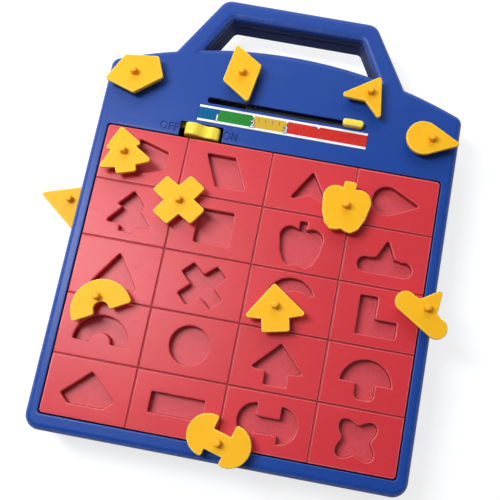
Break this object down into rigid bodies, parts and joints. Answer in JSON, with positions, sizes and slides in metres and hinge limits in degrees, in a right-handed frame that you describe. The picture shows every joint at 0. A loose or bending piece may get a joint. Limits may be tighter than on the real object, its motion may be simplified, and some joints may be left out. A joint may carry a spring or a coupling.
{
  "type": "pop up shape timer game",
  "caption": "Flat carry-handled game with a sprung tray of shaped recesses, a sliding wind-up timer, an on-off rocker and loose amber shapes lying round it.",
  "frame": {"origin": "on the flat back face, under the middle of the tray", "axes": "+Z out of the tray's face, +Y towards the carry handle, +X to the right"},
  "size_m": [0.2944, 0.3947, 0.0533],
  "materials": {
    "blue_case": "satin",
    "red_tray": "satin",
    "amber_plastic": "gloss",
    "lemon_plastic": "gloss",
    "scale_card": "printed",
    "nylon": "natural",
    "brass": "stamped",
    "steel": "zinc plated"
  },
  "bodies": {
    "case": {"case_top": "blue_case", "case_bottom": "blue_case", "timer_scale": "scale_card", "movement_base": "steel", "movement_top_plate": "steel", "mainspring": "steel", "switch_pin": "steel", "case_screw_1": "steel", "case_screw_2": "steel", "case_screw_3": "steel", "case_screw_4": "steel", "case_screw_5": "steel", "case_screw_6": "steel", "case_screw_7": "steel", "case_screw_8": "steel", "case_screw_9": "steel", "plate_screw_1": "steel", "plate_screw_2": "steel", "plate_screw_3": "steel", "plate_screw_4": "steel", "base_screw_1": "steel", "base_screw_2": "steel", "tray_spring_1": "steel", "tray_spring_2": "steel", "tray_spring_3": "steel", "tray_spring_4": "steel"},
    "tray": {"shape_tray": "red_tray"},
    "pointer": {"timer_pointer": "lemon_plastic", "timer_rack": "nylon"},
    "winding_arbor": {"winding_wheel": "brass", "rack_pinion": "nylon"},
    "second_arbor": {"second_wheel": "brass"},
    "escape_arbor": {"escape_wheel": "brass"},
    "pallets": {"pallet_lever": "steel"},
    "latch": {"latch_plate": "steel"},
    "switch": {"switch_rocker": "lemon_plastic"},
    "saltire_shape": {"saltire_piece": "amber_plastic"},
    "apple_shape": {"apple_piece": "amber_plastic"},
    "arch_shape": {"arch_piece": "amber_plastic"},
    "arrow_shape": {"arrow_piece": "amber_plastic"},
    "fir_shape": {"fir_piece": "amber_plastic"},
    "pentagon_shape": {"pentagon_piece": "amber_plastic"},
    "parallelogram_shape": {"parallelogram_piece": "amber_plastic"},
    "chevron_shape": {"chevron_piece": "amber_plastic"},
    "teardrop_shape": {"teardrop_piece": "amber_plastic"},
    "tri_lobe_shape": {"tri_lobe_piece": "amber_plastic"},
    "bone_shape": {"bone_piece": "amber_plastic"},
    "triangle_shape": {"triangle_piece": "amber_plastic"},
    "square_shape": {"square_piece": "amber_plastic"},
    "circle_shape": {"circle_piece": "amber_plastic"},
    "ell_shape": {"ell_piece": "amber_plastic"},
    "rectangle_shape": {"rectangle_piece": "amber_plastic"},
    "mushroom_shape": {"mushroom_piece": "amber_plastic"},
    "gem_shape": {"gem_piece": "amber_plastic"},
    "quatrefoil_shape": {"quatrefoil_piece": "amber_plastic"},
    "crescent_shape": {"crescent_piece": "amber_plastic"}
  },
  "joints": [
    {"name": "tray_pop", "type": "slide", "parent": "case", "child": "tray", "axis": [0, 0, 1], "range_m": [-0.008, 0], "stiffness_N_per_m": 400, "springref_m": 0.01, "deforming": ["tray_spring_1", "tray_spring_2", "tray_spring_3", "tray_spring_4"]},
    {"name": "pointer_slide", "type": "slide", "parent": "case", "child": "pointer", "axis": [1, 0, 0], "range_m": [-0.088, 0], "stiffness_N_per_m": 15, "springref_m": 0.08},
    {"name": "winding_turn", "type": "hinge", "parent": "case", "child": "winding_arbor", "pos_m": [-0.018, 0.136, 0.016], "axis": [0, 0, 1], "range_deg": [-425, 3]},
    {"name": "second_turn", "type": "hinge", "parent": "case", "child": "second_arbor", "pos_m": [-0.04214, 0.12949, 0.022], "axis": [0, 0, 1], "range_deg": [-12, 1700]},
    {"name": "escape_turn", "type": "hinge", "parent": "case", "child": "escape_arbor", "pos_m": [-0.05845, 0.12188, 0.017], "axis": [0, 0, 1], "range_deg": [-6800, 48]},
    {"name": "pallet_tick", "type": "hinge", "parent": "case", "child": "pallets", "pos_m": [-0.05845, 0.11138, 0.017], "axis": [0, 0, 1], "range_deg": [-2, 2]},
    {"name": "latch_slide", "type": "slide", "parent": "case", "child": "latch", "axis": [0, 1, 0], "range_m": [-0.0041, 0.0001]},
    {"name": "switch_tilt", "type": "hinge", "parent": "case", "child": "switch", "pos_m": [-0.04805, 0.0985, 0.034], "axis": [0, 1, 0], "range_deg": [-14, 0]},
    {"name": "saltire_lift", "type": "slide", "parent": "tray", "child": "saltire_shape", "axis": [0, 0, 1], "range_m": [0, 0.05]},
    {"name": "apple_lift", "type": "slide", "parent": "tray", "child": "apple_shape", "axis": [0, 0, 1], "range_m": [0, 0.05]},
    {"name": "arch_lift", "type": "slide", "parent": "tray", "child": "arch_shape", "axis": [0, 0, 1], "range_m": [0, 0.05]},
    {"name": "arrow_lift", "type": "slide", "parent": "tray", "child": "arrow_shape", "axis": [0, 0, 1], "range_m": [0, 0.05]},
    {"name": "fir_lift", "type": "slide", "parent": "tray", "child": "fir_shape", "axis": [0, 0, 1], "range_m": [0, 0.05]},
    {"name": "pentagon_lift", "type": "slide", "parent": "case", "child": "pentagon_shape", "axis": [0, 0, 1], "range_m": [0, 0.05]},
    {"name": "parallelogram_lift", "type": "slide", "parent": "case", "child": "parallelogram_shape", "axis": [0, 0, 1], "range_m": [0, 0.05]},
    {"name": "chevron_lift", "type": "slide", "parent": "case", "child": "chevron_shape", "axis": [0, 0, 1], "range_m": [0, 0.05]},
    {"name": "teardrop_lift", "type": "slide", "parent": "case", "child": "teardrop_shape", "axis": [0, 0, 1], "range_m": [0, 0.05]},
    {"name": "tri_lobe_lift", "type": "slide", "parent": "case", "child": "tri_lobe_shape", "axis": [0, 0, 1], "range_m": [0, 0.05]},
    {"name": "bone_lift", "type": "slide", "parent": "case", "child": "bone_shape", "axis": [0, 0, 1], "range_m": [0, 0.05]},
    {"name": "triangle_lift", "type": "slide", "parent": "case", "child": "triangle_shape", "axis": [0, 0, 1], "range_m": [0, 0.05]},
    {"name": "square_lift", "type": "slide", "parent": "case", "child": "square_shape", "axis": [0, 0, 1], "range_m": [0, 0.05]},
    {"name": "circle_lift", "type": "slide", "parent": "case", "child": "circle_shape", "axis": [0, 0, 1], "range_m": [0, 0.05]},
    {"name": "ell_lift", "type": "slide", "parent": "case", "child": "ell_shape", "axis": [0, 0, 1], "range_m": [0, 0.05]},
    {"name": "rectangle_lift", "type": "slide", "parent": "case", "child": "rectangle_shape", "axis": [0, 0, 1], "range_m": [0, 0.05]},
    {"name": "mushroom_lift", "type": "slide", "parent": "case", "child": "mushroom_shape", "axis": [0, 0, 1], "range_m": [0, 0.05]},
    {"name": "gem_lift", "type": "slide", "parent": "case", "child": "gem_shape", "axis": [0, 0, 1], "range_m": [0, 0.05]},
    {"name": "quatrefoil_lift", "type": "slide", "parent": "case", "child": "quatrefoil_shape", "axis": [0, 0, 1], "range_m": [0, 0.05]},
    {"name": "crescent_lift", "type": "slide", "parent": "case", "child": "crescent_shape", "axis": [0, 0, 1], "range_m": [0, 0.05]}
  ],
  "couplings": [
    {"joint": "winding_turn", "follows": "pointer_slide", "rad_per_m": 83.333},
    {"joint": "second_turn", "follows": "pointer_slide", "rad_per_m": -333.33},
    {"joint": "escape_turn", "follows": "pointer_slide", "rad_per_m": 1333.3},
    {"joint": "latch_slide", "follows": "pointer_slide", "ratio": 0.045455}
  ]
}
